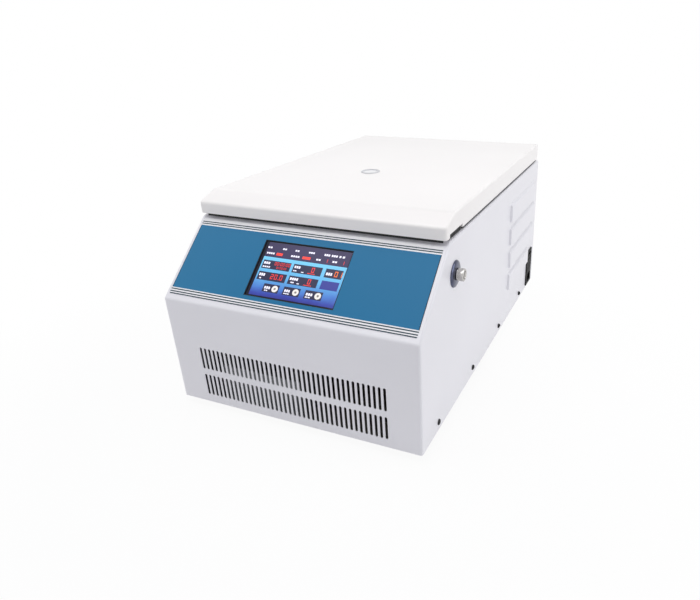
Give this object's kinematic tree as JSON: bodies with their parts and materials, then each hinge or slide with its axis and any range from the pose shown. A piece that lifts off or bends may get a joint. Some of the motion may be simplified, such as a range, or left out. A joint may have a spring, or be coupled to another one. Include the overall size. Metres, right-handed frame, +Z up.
{
  "type": "cytocentrifuge",
  "caption": "Bench cytocentrifuge with sloped touch console, hinged lid with sight port, steel bowl, slide rotor and slotted front grille.",
  "frame": {"origin": "on the bench, on the cabinet's middle plane, below the foot of the front face", "axes": "+X to the operator's right, +Y from the front to the back, +Z up"},
  "size_m": [0.4495, 0.6944, 0.3312],
  "materials": {
    "cabinet_paint": "fine satin off-white powder coat on folded steel",
    "zinc_plate": "zinc plated sheet and turned steel",
    "lid_plastic": "satin white moulding",
    "label_film": "printed teal film",
    "screen_glass": "glossy dark glass over the display",
    "board_green": "solder resist",
    "chrome_trim": "polished chrome",
    "black_plastic": "fine textured black",
    "black_screws": "black coated steel",
    "rubber": "matt black rubber",
    "stainless": "spun stainless steel",
    "foam": "foamed in place jacket",
    "copper": "bare copper",
    "black_paint": "gloss black paint",
    "aluminium": "cast and machined aluminium",
    "clear_plastic": "clear moulded plastic",
    "steel_clip": "bent stainless strip",
    "white_plastic": "white moulding"
  },
  "bodies": {
    "cabinet": {"base_tray": "zinc_plate", "bowl": "stainless", "bowl_insulation": "foam", "cabinet_screws": "black_screws", "compressor": "black_paint", "condenser": "aluminium", "console_panel": "cabinet_paint", "control_board": "board_green", "control_label": "label_film", "deck_hinge_leaves": "zinc_plate", "deck_panel": "cabinet_paint", "display_bracket": "zinc_plate", "evaporator_coil": "copper", "fan_frame": "black_plastic", "front_panel": "cabinet_paint", "hinge_pins": "zinc_plate", "inlet_pins": "copper", "left_side_panel": "cabinet_paint", "lid_buffers": "rubber", "lock_housing": "zinc_plate", "motor": "aluminium", "motor_drive": "aluminium", "motor_plate": "zinc_plate", "power_inlet": "black_plastic", "rear_panel": "cabinet_paint", "release_rosette": "chrome_trim", "right_side_panel": "cabinet_paint", "rubber_feet": "rubber", "shock_mounts": "rubber", "spindle_bearings": "zinc_plate", "spindle_boot": "rubber", "touch_screen": "screen_glass"},
    "lid": {"lid_shell": "lid_plastic", "lid_liner": "lid_plastic", "lid_gasket": "rubber", "sight_window": "clear_plastic", "sight_ring": "lid_plastic", "lid_striker": "zinc_plate", "lid_hinge_leaves": "zinc_plate"},
    "rotor": {"spindle": "zinc_plate", "rotor_carrier": "aluminium", "rotor_cover": "clear_plastic", "cover_stud": "zinc_plate"},
    "holder_1": {"slide_clip_1": "steel_clip", "sample_chamber_1": "white_plastic"},
    "holder_2": {"slide_clip_2": "steel_clip", "sample_chamber_2": "white_plastic"},
    "holder_3": {"slide_clip_3": "steel_clip", "sample_chamber_3": "white_plastic"},
    "holder_4": {"slide_clip_4": "steel_clip", "sample_chamber_4": "white_plastic"},
    "holder_5": {"slide_clip_5": "steel_clip", "sample_chamber_5": "white_plastic"},
    "holder_6": {"slide_clip_6": "steel_clip", "sample_chamber_6": "white_plastic"},
    "cover_knob": {"cover_knob": "black_plastic"},
    "release_knob": {"release_knob": "chrome_trim"},
    "lock_bolt": {"lock_bolt": "zinc_plate"},
    "power_rocker": {"power_rocker": "black_plastic"},
    "fan": {"fan_impeller": "black_plastic"}
  },
  "joints": [
    {"name": "lid_hinge", "type": "hinge", "parent": "cabinet", "child": "lid", "pos_m": [0, 0.684, 0.301], "axis": [-1, 0, 0], "range_deg": [0, 80]},
    {"name": "rotor_spin", "type": "hinge", "parent": "cabinet", "child": "rotor", "pos_m": [0, 0.335, 0.161], "axis": [0, 0, 1], "continuous": true},
    {"name": "holder_swing_1", "type": "hinge", "parent": "rotor", "child": "holder_1", "pos_m": [0.092, 0.335, 0.237], "axis": [0, -1, 0], "range_deg": [0, 15]},
    {"name": "holder_swing_2", "type": "hinge", "parent": "rotor", "child": "holder_2", "pos_m": [0.046, 0.41467, 0.237], "axis": [0.866, -0.5, 0], "range_deg": [0, 15]},
    {"name": "holder_swing_3", "type": "hinge", "parent": "rotor", "child": "holder_3", "pos_m": [-0.046, 0.41467, 0.237], "axis": [0.866, 0.5, 0], "range_deg": [0, 15]},
    {"name": "holder_swing_4", "type": "hinge", "parent": "rotor", "child": "holder_4", "pos_m": [-0.092, 0.335, 0.237], "axis": [0, 1, 0], "range_deg": [0, 15]},
    {"name": "holder_swing_5", "type": "hinge", "parent": "rotor", "child": "holder_5", "pos_m": [-0.046, 0.25533, 0.237], "axis": [-0.866, 0.5, 0], "range_deg": [0, 15]},
    {"name": "holder_swing_6", "type": "hinge", "parent": "rotor", "child": "holder_6", "pos_m": [0.046, 0.25533, 0.237], "axis": [-0.866, -0.5, 0], "range_deg": [0, 15]},
    {"name": "cover_knob_turn", "type": "hinge", "parent": "rotor", "child": "cover_knob", "pos_m": [0, 0.335, 0.2753], "axis": [0, 0, 1], "range_deg": [0, 90]},
    {"name": "lid_release_pull", "type": "slide", "parent": "cabinet", "child": "release_knob", "axis": [1, 0, 0], "range_m": [0, 0.008], "stiffness_N_per_m": 600, "springref_m": -0.002},
    {"name": "lock_bolt_throw", "type": "slide", "parent": "cabinet", "child": "lock_bolt", "axis": [1, 0, 0], "range_m": [0, 0.008]},
    {"name": "power_rocker_tilt", "type": "hinge", "parent": "cabinet", "child": "power_rocker", "pos_m": [0.215, 0.645, 0.0865], "axis": [0, -1, 0], "range_deg": [0, 14]},
    {"name": "fan_spin", "type": "hinge", "parent": "cabinet", "child": "fan", "pos_m": [0.05, 0.632, 0.1865], "axis": [0, 1, 0], "continuous": true}
  ]
}
